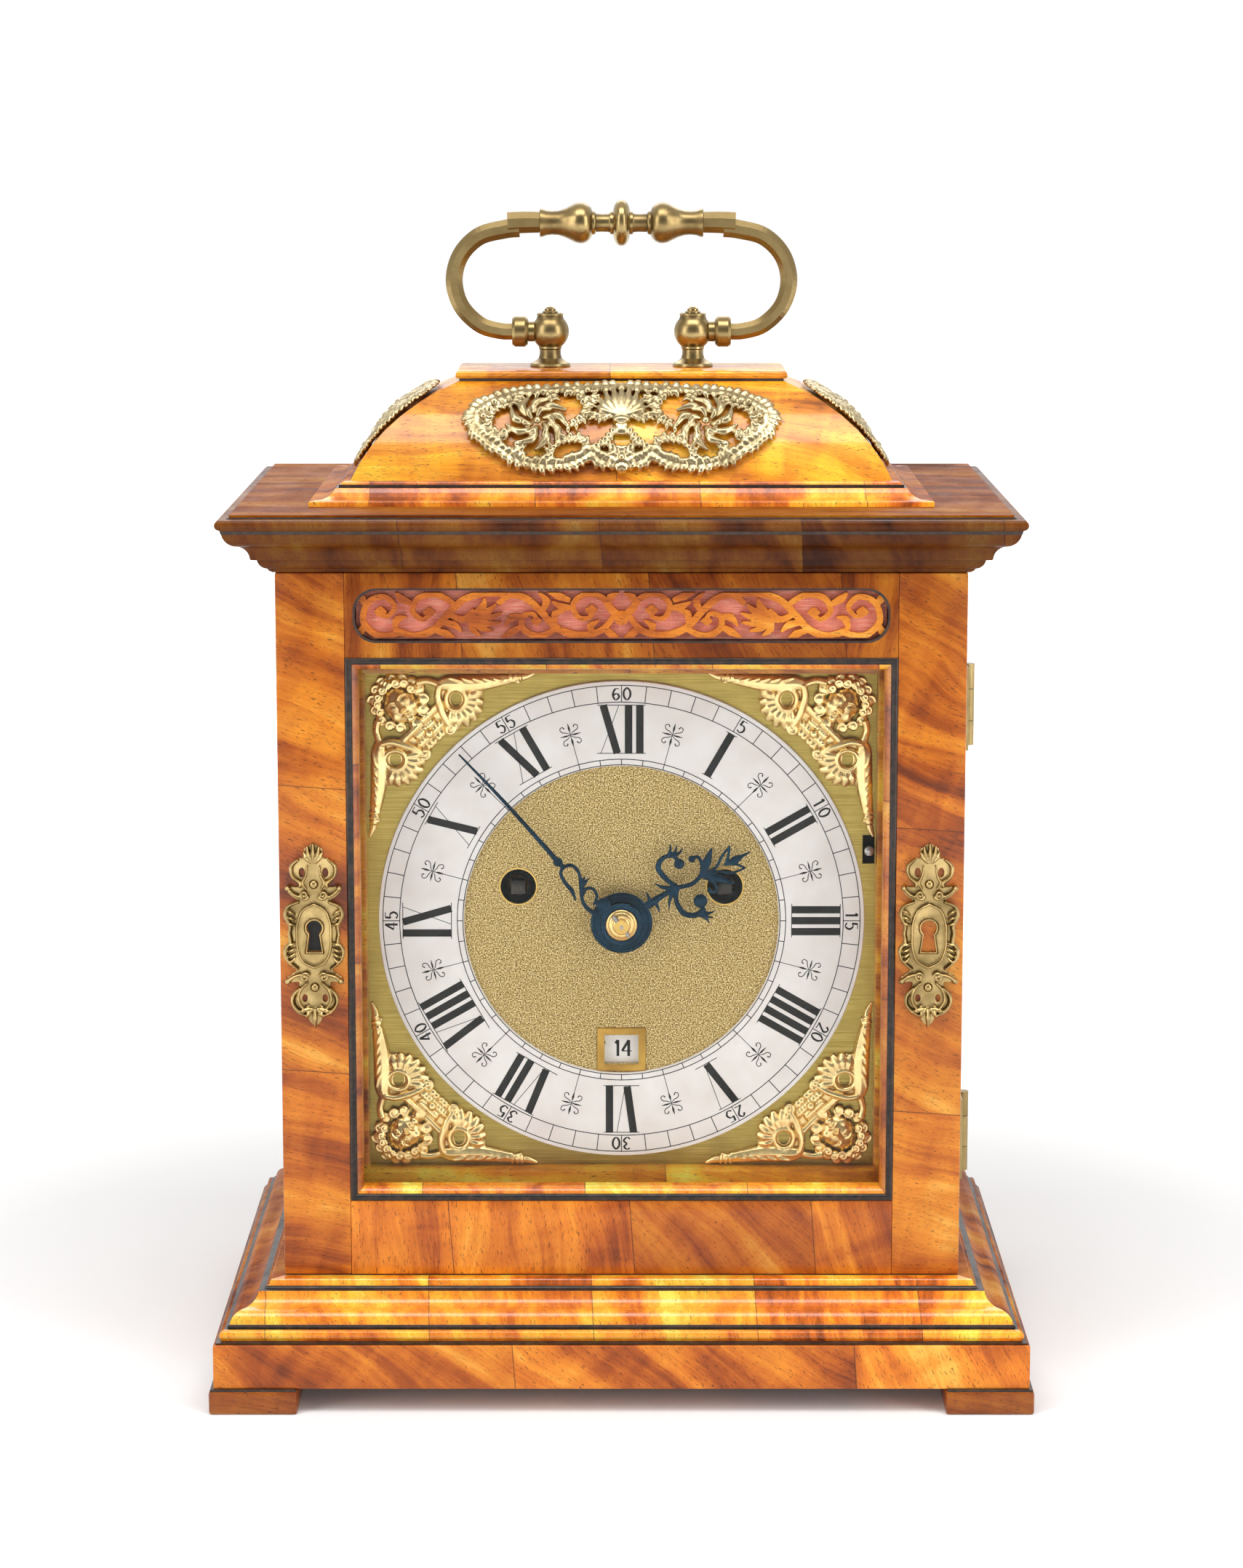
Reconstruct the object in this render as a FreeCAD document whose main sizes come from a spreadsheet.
"""Parametric table clock: a walnut case with a domed top, a square brass dial and a two-train movement.

The origin is the middle of the footprint, on the table. +X is to the right when facing the dial, +Y runs
from the dial to the back door and +Z is up. All lengths are millimetres.
"""
import FreeCAD
import Part
import PartDesign
import Sketcher
import math
import os
from types import SimpleNamespace

Vector = FreeCAD.Vector
Rotation = FreeCAD.Rotation

# Driving dimensions, piece by piece. Each becomes a cell of the sheet, under its own alias.
SIZES = {
    # case and doors
    "case_width": 216.0, "case_depth": 100.0, "case_height": 227.4, "side_thick": 12.0,
    "door_thick": 14.0, "door_gap": 0.3, "overrun": 5.0, "fit_gap": 0.2, "running_gap": 0.05,
    # feet, plinth and base moulding
    "foot_height": 8.0, "foot_length": 29.0, "foot_overhang": 1.6, "foot_step": 1.2, "plinth_height": 14.3,
    "plinth_overhang": 21.0, "plinth_ledge": 8.0, "base_moulding_height": 16.3,
    # side windows, seat board and dial mask
    "window_width": 56.0, "window_height": 140.0, "window_rise": 42.0, "pane_thick": 2.0, "pane_depth": 6.0,
    "seat_thick": 12.0, "seat_depth": 76.0, "seat_clear": 1.5, "mask_thick": 8.0, "mask_opening": 163.0,
    # cornice, top board, dome and cap
    "cornice_height": 18.2, "cornice_overhang": 16.4, "top_lip": 1.1, "top_lip_overhang": 12.6,
    "dome_width": 171.2, "dome_depth": 83.6, "dome_height": 29.4, "dome_top_width": 104.6,
    "dome_top_depth": 33.0, "dome_wall": 6.0, "dome_step_height": 6.9, "dome_step_overhang": 12.4,
    "cap_neck": 1.2, "cap_thick": 2.2, "cap_overhang": 0.8, "cap_round": 0.9,
    "dome_mount_length": 103.0, "dome_mount_height": 27.0, "mount_foot": 1.4, "dome_mount_thick": 1.6,
    "side_mount_length": 52.0, "mount_lift": 0.05,
    # handle
    "post_spread": 46.4, "post_radius": 6.6, "post_height": 19.6, "post_pivot_rise": 11.4, "post_shank": 3.0,
    "post_shank_length": 3.0, "bail_rise": 35.1, "bail_span": 109.4, "bail_thick": 5.3, "bail_chamfer": 1.3,
    "bail_pin": 1.6, "bail_pin_length": 4.0, "collar_radius": 5.0, "collar_length": 5.3, "collar_gap": 0.4,
    "grip_length": 52.2, "grip_radius": 7.4, "shoulder_size": 7.5, "shoulder_chamfer": 1.8,
    # front door
    "stile_width": 21.5, "bottom_rail": 24.4, "top_rail": 26.8, "bead_width": 4.6, "bead_depth": 7.6, "bead_proud": 0.6,
    "fret_length": 166.6, "fret_height": 16.1, "fret_thick": 2.0, "fret_recess": 1.2, "silk_thick": 0.4,
    "fret_rib": 1.5, "fret_rim": 1.0, "escutcheon_height": 60.3, "escutcheon_width": 20.0,
    "escutcheon_thick": 1.6, "escutcheon_inset": 11.0, "keyhole_radius": 2.3, "keyhole_length": 9.0,
    "lock_width": 9.0, "lock_height": 26.0, "lock_depth": 6.4, "bolt_height": 8.0, "bolt_thick": 2.4,
    "bolt_throw": 4.0, "lock_inset": 0.8, "lock_wall": 0.6,
    # hinges
    "hinge_height": 26.0, "hinge_end_rise": 31.0, "hinge_knuckle": 1.8, "hinge_pin": 0.9, "hinge_leaf": 11.0,
    "hinge_leaf_thick": 1.0, "hinge_stand_off": 0.1,
    # back door
    "back_stile": 24.0, "back_rail": 26.0,
    # dial
    "dial_side": 170.0, "dial_thick": 2.2, "dial_rise": 111.6, "ring_outer": 78.2, "ring_inner": 50.6,
    "ring_thick": 1.6, "dial_hole": 5.4, "winding_hole": 5.65, "winding_x": 33.2, "winding_rise": 10.9,
    "date_window_width": 11.0, "date_window_height": 9.6, "date_drop": 43.1, "slot_width": 3.9,
    "slot_height": 9.4, "slot_x": 79.3, "slot_rise": 23.1, "dial_foot": 2.6, "dial_foot_x": 50.0,
    "dial_foot_inset": 4.0, "corner_mount_arm": 50.5, "corner_mount_thick": 2.2, "corner_mount_inset": 2.2,
    "corner_head": 9.0, "date_ring_inner": 38.5, "date_ring_outer": 51.0, "date_ring_thick": 0.8,
    "date_gap": 0.3, "lever_pin": 1.25, "lever_pin_length": 6.0, "lever_length": 26.0, "lever_width": 6.0,
    "lever_thick": 1.0,
    # hands
    "minute_hand_length": 76.0, "hour_hand_length": 47.0, "hand_thick": 1.0, "hour_hub": 9.9, "minute_hub": 7.2,
    "hand_gap": 1.6, "collet_radius": 4.8, "collet_thick": 2.4, "taper_pin": 0.55, "taper_pin_length": 11.0,
    "hour_hand_lift": 4.2, "hand_square": 2.2, "hand_tip": 1.2, "taper_pin_sink": 0.15,
    # plates and pillars
    "plate_width": 132.0, "plate_height": 132.0, "plate_thick": 2.6, "plate_above": 64.0, "motion_room": 9.5,
    "plate_space": 56.0, "pillar_radius": 4.0, "pillar_edge": 4.2, "pillar_inset": 7.0, "pivot": 1.4,
    "pivot_reach": 2.2, "arbor": 2.4,
    # trains
    "barrel_radius": 21.0, "barrel_length": 38.0, "barrel_x": 36.0, "barrel_drop": 40.2, "fusee_big": 19.0,
    "fusee_small": 9.0, "fusee_length": 36.0, "wheel_thick": 2.0, "pinion_thick": 3.8, "end_shake": 1.4,
    "fusee_start": 13.0, "barrel_start": 11.5, "great_level": 8.5, "strike_great_drop": 4.5, "centre_level": 5.0,
    "square_side": 4.4, "square_length": 13.0, "line_radius": 0.7, "contrate_rise": 27.3, "contrate_radius": 13.0,
    "contrate_tooth": 3.0, "contrate_level": 24.0, "crown_radius": 9.0, "crown_height": 5.0, "crown_rise": 22.0,
    "crown_depth": 32.5, "crown_arbor": 1.0, "crown_pinion": 5.5, "crown_pinion_drop": 15.0,
    "minute_wheel_drop": 24.0, "motion_gap": 0.5, "hour_wheel_gap": 1.4,
    "motion_wheel": 1.1, "minute_pinion": 3.2, "hour_pipe": 4.4, "cannon_pipe": 3.0, "pin_wheel_x": 18.0,
    "pin_wheel_rise": 42.4, "pin_wheel_radius": 12.0, "pin_wheel_level": 40.0, "striking_pin": 0.8, "striking_pin_length": 3.0,
    # escapement, bell and hammer
    "verge_rise": 57.8, "verge": 1.3, "verge_hole": 4.0, "pallet_width": 2.0, "pallet_thick": 0.8, "pallet_length": 3.0, "pendulum_length": 96.0,
    "pendulum_rod": 1.2, "bob_radius": 11.0, "bob_thick": 7.0, "pendulum_stand_off": 5.0, "cock_thick": 2.2,
    "cock_width": 40.0, "cock_height": 12.0, "cock_foot": 6.0, "cock_depth": 10.0, "potence_width": 8.0,
    "potence_arm": 3.0, "potence_nose": 2.3, "potence_low": 2.5, "potence_high": 16.0, "bridge_width": 10.0, "bridge_thick": 3.0, "bell_radius": 33.0, "bell_height": 28.0,
    "bell_wall": 2.0, "bell_post": 3.0, "bell_rise": 10.0, "bell_nut": 2.0, "hammer_x": 42.0, "hammer_rise": 53.0,
    "hammer_head": 4.0, "hammer_length": 8.0, "hammer_gap": 0.6, "hammer_lift": 27.0, "hammer_arm": 2.4,
}

# Moulding profiles: (overhang share, height share, bulge of the stretch that starts there).
BASE_PROFILE_SHARES = (
    (0.0, 0.0, 0), (1.0, 0.0, 0), (0.97, 0.05, 0.55), (0.93, 0.27, 0), (0.80, 0.27, 0), (0.78, 0.36, 0.28),
    (0.57, 0.51, -0.28), (0.36, 0.86, 0), (0.25, 0.90, 0), (0.22, 0.94, 0), (0.18, 1.0, 0), (0.0, 1.0, 0))
CORNICE_PROFILE_SHARES = (
    (0.0, 0.0, 0), (0.12, 0.0, 0.30), (0.30, 0.22, 0), (0.43, 0.25, -0.25), (0.62, 0.50, 0.25),
    (0.91, 0.72, 0), (0.93, 0.80, 0), (0.95, 0.81, 0.60), (0.95, 1.0, 0), (0.0, 1.0, 0))
STEP_PROFILE_SHARES = (
    (-0.5, 0.0, 0), (0.95, 0.0, 0), (0.95, 0.20, 0), (1.0, 0.26, -0.12), (0.30, 0.74, 0), (0.27, 0.82, 0),
    (0.14, 0.84, 0), (0.10, 1.0, 0), (-0.5, 1.0, 0))
BEAD_PROFILE_SHARES = (
    (0.0, 0.0, 0), (0.0, 0.92, 0), (-0.40, 0.92, 0), (-0.46, 1.0, 0.32), (-1.0, 0.30, 0), (-1.0, 0.0, 0))

# Turned profiles: (radius share, height share, bulge of the stretch that starts there).
POST_SHARES = (
    (0.0, 0.0, 0), (1.0, 0.0, 0), (1.0, 0.05, 0), (0.56, 0.14, 0), (0.53, 0.30, 0), (0.54, 0.31, 0.50),
    (0.56, 0.83, 0), (0.66, 0.86, 0), (0.36, 0.87, 0), (0.36, 0.93, 0),
    (0.30, 0.98, 0), (0.16, 1.0, 0), (0.0, 1.0, 0))
GRIP_SHARES = (
    (0.0, 0.0, 0), (1.0, 0.0, 0.42), (0.80, 0.055, 0), (0.46, 0.06, 0), (0.42, 0.14, 0), (0.52, 0.15, 0),
    (0.60, 0.17, 0.5), (0.80, 0.34, -0.2), (0.50, 0.46, -0.1), (0.57, 0.5, 0), (0.0, 0.5, 0))
PILLAR_SHARES = (
    (0.0, 0.0, 0), (0.9, 0.0, 0), (0.9, 0.04, 0), (0.55, 0.06, 0), (0.55, 0.14, 0.2), (1.0, 0.40, 0),
    (0.5, 0.46, 0), (0.8, 0.48, 0), (0.8, 0.52, 0), (0.5, 0.54, 0), (1.0, 0.60, 0.2), (0.55, 0.86, 0),
    (0.55, 0.94, 0), (0.9, 0.96, 0), (0.9, 1.0, 0), (0.0, 1.0, 0))

# Right half of the keyhole escutcheon, from the top tip to the bottom one: shares of half its size.
ESCUTCHEON_SHARES = (
    (0.0, 1.0), (0.29, 0.93), (0.2, 0.88), (0.5, 0.84), (0.68, 0.76), (0.52, 0.60), (0.82, 0.55), (0.80, 0.46),
    (0.5, 0.38), (0.8, 0.31), (0.94, 0.22), (0.78, 0.03), (0.98, -0.13), (0.88, -0.26), (0.56, -0.38),
    (0.9, -0.45), (0.86, -0.53), (0.62, -0.56), (0.72, -0.72), (0.32, -0.85), (0.24, -0.93), (0.0, -1.0))
# One arm of a winged corner mount, along and across the arm: shares of the arm's length.
WING_SHARES = (
    (0.30, 0.10), (0.45, 0.05), (0.62, 0.04), (0.84, 0.04), (1.0, 0.0), (0.93, 0.09), (0.82, 0.12), (0.66, 0.16),
    (0.68, 0.24), (0.55, 0.34), (0.40, 0.40), (0.33, 0.33))
# Lobes of the pierced dome mount, round half of its rim, and its piercings: shares of half its size.
MOUNT_LOBES = 22
MOUNT_LOBE_SHARE = 0.035
MOUNT_HOLE_SHARES = ((0.62, 0.18, 0.11), (0.44, -0.34, 0.10), (0.24, 0.30, 0.09), (0.20, -0.24, 0.08),
                     (0.72, -0.26, 0.08), (0.40, 0.52, 0.07))

# Outlines of the pierced hands, along and across: shares of the hand's length and of its hub.
HOUR_HAND_SHARES = (
    (0.16, 0.10), (0.34, 0.09), (0.40, 0.30), (0.50, 0.46), (0.58, 0.30), (0.62, 0.12), (0.80, 0.34), (0.78, 0.12),
    (1.0, 0.0))
MINUTE_HAND_SHARES = ((0.06, 0.14), (0.16, 0.34), (0.22, 0.34), (0.30, 0.07), (0.33, 0.12), (0.36, 0.05), (1.0, 0.02))
HOUR_ANGLE = 60.0
MINUTE_ANGLE = -43.0

# Tooth counts.
GREAT_TEETH = 96
CENTRE_PINION = 8
CENTRE_TEETH = 84
CONTRATE_PINION = 7
CONTRATE_TEETH = 60
CROWN_TEETH = 15
MOTION_TEETH = 40
MINUTE_PINION = 6
HOUR_TEETH = 72
PIN_WHEEL_TEETH = 60
STRIKING_PINS = 12
FUSEE_TURNS = 9
FRET_WAVES = 12
MOUNT_STEPS = 8

# Tooth shape: shares of the module, and of the pitch for the widths at the root, pitch line and tip.
ADDENDUM_SHARE = 0.85
DEDENDUM_SHARE = 1.25
TOOTH_SHARES = (0.46, 0.36, 0.12)
LEAF_SHARES = (0.26, 0.30, 0.14)
LEAF_ADDENDUM_SHARE = 0.55
LEAF_DEDENDUM_SHARE = 1.35

# Curves, given as the tangent of a quarter of the arc's angle, and angles in degrees.
DOME_BULGE = 0.2
QUARTER_BULGE = 0.4142
BELL_BULGE = 0.35
PALLET_ANGLE = 45
MITRE = 45

# Smaller shares.
COLLAR_SHARES = ((0.0, 0.0, 0), (0.84, 0.0, 0), (1.0, 0.16, 0), (1.0, 0.84, 0), (0.84, 1.0, 0), (0.0, 1.0, 0))
CHEST_SHARES = ((0.10, 0.34), (0.34, 0.10), (0.46, 0.36), (0.40, 0.40), (0.36, 0.46))
POST_BALL_SHARE = 0.94
SHOULDER_SHARE = 1.4
HINGE_SPLIT_SHARE = 0.3
FRET_CURL_SHARE = 0.45
KEYHOLE_SLOT_SHARE = 0.45
HEAD_SHARE = 0.2
HEAD_SINK_SHARE = 0.5
COLLET_SHARE = 0.6
BELL_CROWN_SHARE = 0.28
CONTRATE_TOOTH_SHARE = 0.5
CONTRATE_RIM_SHARE = 0.1
INSIDE_SHARE = 0.98
CROWN_RING_SHARE = 0.5
CROWN_INSIDE_SHARE = 0.84
CROWN_DISC_SHARE = 0.25
CROWN_TOOTH_SHARE = 0.6
PIN_RING_SHARE = 0.8
BOB_FLAT_SHARE = 0.8
BOB_EDGE_SHARE = 0.5
PALLET_SPREAD_SHARE = 0.9
PENDULUM_SWING_SHARE = 0.22

TURN = {
    "plan": Rotation(),
    "front": Rotation(Vector(1, 0, 0), 90),
    "side": Rotation(Vector(1, 1, 1), 120),
    "up": Rotation(Vector(1, 0, 0), 90),
    "up_seam_back": Rotation(Vector(0, 0, 1), 90).multiply(Rotation(Vector(1, 0, 0), 90)),
    "forward": Rotation(Vector(0, 0, 1), 180),
    "right": Rotation(Vector(0, 0, 1), -90),
}


class Size:
    """A length that carries the sheet expression it comes from, so that features can be bound to it."""

    def __init__(self, value, text):
        self.value = float(value)
        self.text = text

    @staticmethod
    def of(other):
        if isinstance(other, Size):
            return other
        return Size(other, "({!r})".format(float(other)))

    def joined(self, other, sign, value):
        return Size(value, "({} {} {})".format(self.text, sign, Size.of(other).text))

    def __float__(self):
        return self.value

    def __add__(self, other):
        return self.joined(other, "+", self.value + float(other))

    def __sub__(self, other):
        return self.joined(other, "-", self.value - float(other))

    def __mul__(self, other):
        return self.joined(other, "*", self.value * float(other))

    def __truediv__(self, other):
        return self.joined(other, "/", self.value / float(other))

    def __radd__(self, other):
        return Size.of(other) + self

    def __rsub__(self, other):
        return Size.of(other) - self

    def __rmul__(self, other):
        return Size.of(other) * self

    def __neg__(self):
        return Size.of(-1) * self


def root_of_squares(across, up):
    """The length of a stretch from its two components."""
    across, up = Size.of(across), Size.of(up)
    return Size(math.hypot(across.value, up.value), "sqrt({0} * {0} + {1} * {1})".format(across.text, up.text))


doc = FreeCAD.newDocument("TableClock")
sheet = doc.addObject("Spreadsheet::Sheet", "Dims")
for row, (alias, length) in enumerate(SIZES.items(), start=1):
    sheet.set("A{}".format(row), alias)
    sheet.set("B{}".format(row), repr(length))
    sheet.setAlias("B{}".format(row), alias)
doc.recompute()
size = SimpleNamespace(**{alias: Size(sheet.get(alias), "Dims." + alias) for alias in SIZES})
NODES = {}


def node(obj, label):
    """Names a finished sub-part and lists it for export."""
    obj.Label = label
    NODES[label] = obj
    return obj


def bind(obj, path, length):
    """Binds one property of an object to a size."""
    obj.setExpression(path, Size.of(length).text)


def place(obj, where, turn="plan"):
    """Turns an object and binds its position to three sizes."""
    obj.Placement = FreeCAD.Placement(Vector(*(float(part) for part in where)), TURN[turn])
    for axis, part in zip("xyz", where):
        if isinstance(part, Size):
            bind(obj, "Placement.Base." + axis, part)
    return obj


def block(x_span, y_span, z_span):
    """A box between three pairs of sizes."""
    box = doc.addObject("Part::Box", "Block")
    for name, span in zip(("Length", "Width", "Height"), (x_span, y_span, z_span)):
        bind(box, name, Size.of(span[1]) - span[0])
    return place(box, [Size.of(span[0]) for span in (x_span, y_span, z_span)])


def rod(radius, start, length, turn="up"):
    """A cylinder that starts at a point and runs up, forward (towards the dial side) or to the right."""
    cylinder = doc.addObject("Part::Cylinder", "Rod")
    bind(cylinder, "Radius", radius)
    bind(cylinder, "Height", length)
    place(cylinder, [Size.of(part) for part in start])
    axis = {"up": Rotation(), "forward": Rotation(Vector(1, 0, 0), 90), "right": Rotation(Vector(0, 1, 0), 90)}[turn]
    cylinder.Placement.Rotation = axis
    return cylinder


def cut(base, *tools):
    """The base with every tool taken away."""
    for tool in tools:
        result = doc.addObject("Part::Cut", "Cut")
        result.Base, result.Tool = base, tool
        base = result
    return base


def fuse(*pieces):
    """Several shapes joined into one solid."""
    result = doc.addObject("Part::MultiFuse", "Fuse")
    result.Shapes = list(pieces)
    result.Refine = True
    return result


def group(*pieces):
    """Separate solids kept together."""
    result = doc.addObject("Part::Compound", "Group")
    result.Links = list(pieces)
    return result


def mirror(source, normal):
    """The mirror image of a shape through the origin."""
    result = doc.addObject("Part::Mirroring", "Mirror")
    result.Source = source
    result.Normal = Vector(*normal)
    return result


def fix(sketch, geometry, point, x, y):
    """Holds one sketch point at two sizes from the sketch's origin."""
    for kind, axis, length in (("DistanceX", -2, x), ("DistanceY", -1, y)):
        if not isinstance(length, Size) and length == 0:
            sketch.addConstraint(Sketcher.Constraint("PointOnObject", geometry, point, axis))
            continue
        index = sketch.addConstraint(Sketcher.Constraint(kind, -1, 1, geometry, point, float(length)))
        sketch.setExpression("Constraints[{}]".format(index), Size.of(length).text)


def fix_radius(sketch, geometry, radius):
    """Holds a circle or an arc at a radius."""
    index = sketch.addConstraint(Sketcher.Constraint("Radius", geometry, float(radius)))
    sketch.setExpression("Constraints[{}]".format(index), Size.of(radius).text)


def draw_loop(sketch, vertices):
    """Draws a closed loop of lines and arcs. A vertex is x, y and the bulge of the stretch that leaves it."""
    ends = []
    for vertex, after in zip(vertices, vertices[1:] + vertices[:1]):
        start = Vector(float(vertex[0]), float(vertex[1]), 0)
        end = Vector(float(after[0]), float(after[1]), 0)
        bulge = vertex[2] if len(vertex) > 2 else 0
        if not bulge:
            ends.append((sketch.addGeometry(Part.LineSegment(start, end)), 1, 2))
            continue
        chord = end - start
        radius = root_of_squares(Size.of(after[0]) - vertex[0], Size.of(after[1]) - vertex[1])
        radius = radius * ((1 + bulge * bulge) / (4 * abs(bulge)))
        left = Vector(-chord.y, chord.x, 0)
        centre = (start + end) * 0.5 + left * ((1 - bulge * bulge) / (4 * bulge))
        first, last = (start, end) if bulge > 0 else (end, start)
        angles = [math.atan2(point.y - centre.y, point.x - centre.x) for point in (first, last)]
        circle = Part.Circle(centre, Vector(0, 0, 1), float(radius))
        geometry = sketch.addGeometry(Part.ArcOfCircle(circle, angles[0], angles[1]))
        fix_radius(sketch, geometry, radius)
        ends.append((geometry, 1, 2) if bulge > 0 else (geometry, 2, 1))
    for (one, _, leave), (two, enter, _) in zip(ends, ends[1:] + ends[:1]):
        sketch.addConstraint(Sketcher.Constraint("Coincident", one, leave, two, enter))
    for (geometry, enter, _), vertex in zip(ends, vertices):
        fix(sketch, geometry, enter, vertex[0], vertex[1])


def sketch_in(body, loops, circles=()):
    """A sketch on the body's own XY plane, with closed loops and (x, y, radius) circles."""
    sketch = body.newObject("Sketcher::SketchObject", "Outline")
    plane = [feature for feature in body.Origin.OriginFeatures if feature.Role == "XY_Plane"][0]
    sketch.AttachmentSupport = [(plane, "")]
    sketch.MapMode = "FlatFace"
    for loop in loops:
        draw_loop(sketch, list(loop))
    for x, y, radius in circles:
        centre = Vector(float(x), float(y), 0)
        geometry = sketch.addGeometry(Part.Circle(centre, Vector(0, 0, 1), float(radius)))
        fix(sketch, geometry, 3, x, y)
        fix_radius(sketch, geometry, radius)
    return sketch


def prism(loops, length, where, turn="plan", circles=()):
    """A body padded from an outline. The pad runs along the turned Z axis."""
    body = doc.addObject("PartDesign::Body", "Prism")
    pad = body.newObject("PartDesign::Pad", "Pad")
    pad.Profile = sketch_in(body, loops, circles)
    bind(pad, "Length", length)
    return place(body, where, turn)


def turned(profile, where, turn="up"):
    """A body of revolution. The profile is (radius, distance along the axis, bulge)."""
    body = doc.addObject("PartDesign::Body", "Turned")
    sketch = sketch_in(body, [profile])
    revolution = body.newObject("PartDesign::Revolution", "Revolution")
    revolution.Profile = sketch
    revolution.ReferenceAxis = (sketch, ["V_Axis"])
    revolution.Angle = 360
    return place(body, where, turn)


def feature(shape):
    """A shape worked out from the sheet's values."""
    result = doc.addObject("Part::Feature", "Worked")
    result.Shape = shape
    return result


def scaled(shares, across, up):
    """An outline given in shares of two sizes, with its bulges kept."""
    return [(across * share[0] if share[0] else 0, up * share[1] if share[1] else 0) + tuple(share[2:])
            for share in shares]


def mitred_lengths(profile, half_x, half_y, floor):
    """Four lengths of moulding round a rectangle, mitred at its corners.

    The profile is (overhang beyond the rectangle, height above the floor, bulge).
    """
    outer = max((vertex[0] for vertex in profile), key=float)
    inner = min((vertex[0] for vertex in profile), key=float)
    height = max((vertex[1] for vertex in profile), key=float)
    reach = size.overrun - inner
    along = (Size.of(outer) - inner + 2 * size.overrun) * 2
    out_x = half_x + outer
    out_y = half_y + outer

    def mitre(sign_x, sign_y, turn):
        """A cutting block whose face lies on one corner's mitre line."""
        cutter = doc.addObject("Part::Box", "Mitre")
        bind(cutter, "Length", along)
        bind(cutter, "Width", along)
        bind(cutter, "Height", height + 2 * size.overrun)
        place(cutter, ((half_x - reach) * sign_x, (half_y - reach) * sign_y, floor - size.overrun))
        cutter.Placement.Rotation = Rotation(Vector(0, 0, 1), turn)
        return cutter

    front_loop = [(-(half_y + vertex[0]), vertex[1], -vertex[2]) for vertex in profile]
    front = prism([front_loop], 2 * out_x, (-out_x, 0, floor), "side")
    front = cut(front, mitre(1, -1, -MITRE), mitre(-1, -1, 3 * MITRE))
    right_loop = [(half_x + vertex[0], vertex[1], vertex[2]) for vertex in profile]
    right = prism([right_loop], 2 * out_y, (0, out_y, floor), "front")
    right = cut(right, mitre(1, -1, -3 * MITRE), mitre(1, 1, MITRE))
    return [front, mirror(front, (0, 1, 0)), right, mirror(right, (1, 0, 0))]


def nearer(one, two):
    """The lesser of two distances: a piece fixed to two plates stays inside both."""
    return one if float(one) < float(two) else two


def face_of(points):
    """A flat face inside a closed run of points in the local XY plane."""
    points = [Vector(float(x), float(y), 0) for x, y in points]
    turning = sum(one.x * two.y - two.x * one.y for one, two in zip(points, points[1:] + points[:1]))
    if turning < 0:
        points.reverse()
    return Part.Face(Part.makePolygon(points + points[:1]))


def disc(radius, centre=Vector()):
    """A round flat face in the local XY plane."""
    return Part.Face(Part.Wire(Part.makeCircle(float(radius), centre)))


def standing(shape, where):
    """A shape drawn in the front view, stood up and moved to its place, thickness towards the dial side."""
    shape = shape.copy()
    stand = FreeCAD.Placement(Vector(*(float(part) for part in where)), TURN["front"])
    shape.Placement = stand.multiply(shape.Placement)
    return shape


def tooth_points(teeth, module, phase, shares, addendum, dedendum):
    """The outline of a wheel or pinion whose first tooth points along the phase angle, in degrees."""
    pitch_radius = teeth * module / 2
    radii = (pitch_radius - dedendum * module, pitch_radius, pitch_radius + addendum * module)
    step = 2 * math.pi / teeth
    points = []
    for tooth in range(teeth):
        middle = math.radians(phase) + tooth * step
        rising = [(radius, middle - share * step / 2) for radius, share in zip(radii, shares)]
        falling = [(radius, middle + share * step / 2) for radius, share in zip(radii, shares)][::-1]
        points += [(radius * math.cos(angle), radius * math.sin(angle)) for radius, angle in rising + falling]
    return points


def wheel(teeth, module, phase, thick):
    """A brass wheel blank with its teeth."""
    outline = tooth_points(teeth, module, phase, TOOTH_SHARES, ADDENDUM_SHARE, DEDENDUM_SHARE)
    return face_of(outline).extrude(Vector(0, 0, float(thick)))


def pinion(leaves, module, phase, thick):
    """A steel pinion with its leaves."""
    outline = tooth_points(leaves, module, phase, LEAF_SHARES, LEAF_ADDENDUM_SHARE, LEAF_DEDENDUM_SHARE)
    return face_of(outline).extrude(Vector(0, 0, float(thick)))


def shaft(radius, low, high):
    """A round length along the local Z axis."""
    return Part.makeCylinder(float(radius), float(high) - float(low), Vector(0, 0, float(low)))


def moved(shape, x=0, y=0, z=0):
    """A copy of a worked shape, shifted."""
    shape = shape.copy()
    shape.translate(Vector(float(x), float(y), float(z)))
    return shape


def joined(*shapes):
    """Worked shapes joined into one solid."""
    return shapes[0].multiFuse(list(shapes[1:])).removeSplitter()


def lathe(points):
    """A solid turned about the local Z axis from (radius, height) points."""
    points = [Vector(float(radius), 0, float(height)) for radius, height in points]
    return Part.Face(Part.makePolygon(points + points[:1])).revolve(Vector(), Vector(0, 0, 1), 360)


def both(sign, near, far):
    """A span on the positive side, or its mirror image on the negative one."""
    return (near, far) if sign > 0 else (-Size.of(far), -Size.of(near))


def rounded_slot(length, height):
    """A slot with round ends, centred on the origin."""
    straight = (length - height) / 2
    half = height / 2
    return [(-straight, -half), (straight, -half, QUARTER_BULGE), (straight + half, 0, QUARTER_BULGE), (straight, half),
            (-straight, half, QUARTER_BULGE), (-straight - half, 0, QUARTER_BULGE)]


def rectangle(half_x, half_y, x=0, y=0):
    """A rectangle about a point."""
    x, y = Size.of(x), Size.of(y)
    return [(x - half_x, y - half_y), (x + half_x, y - half_y), (x + half_x, y + half_y), (x - half_x, y + half_y)]


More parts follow.
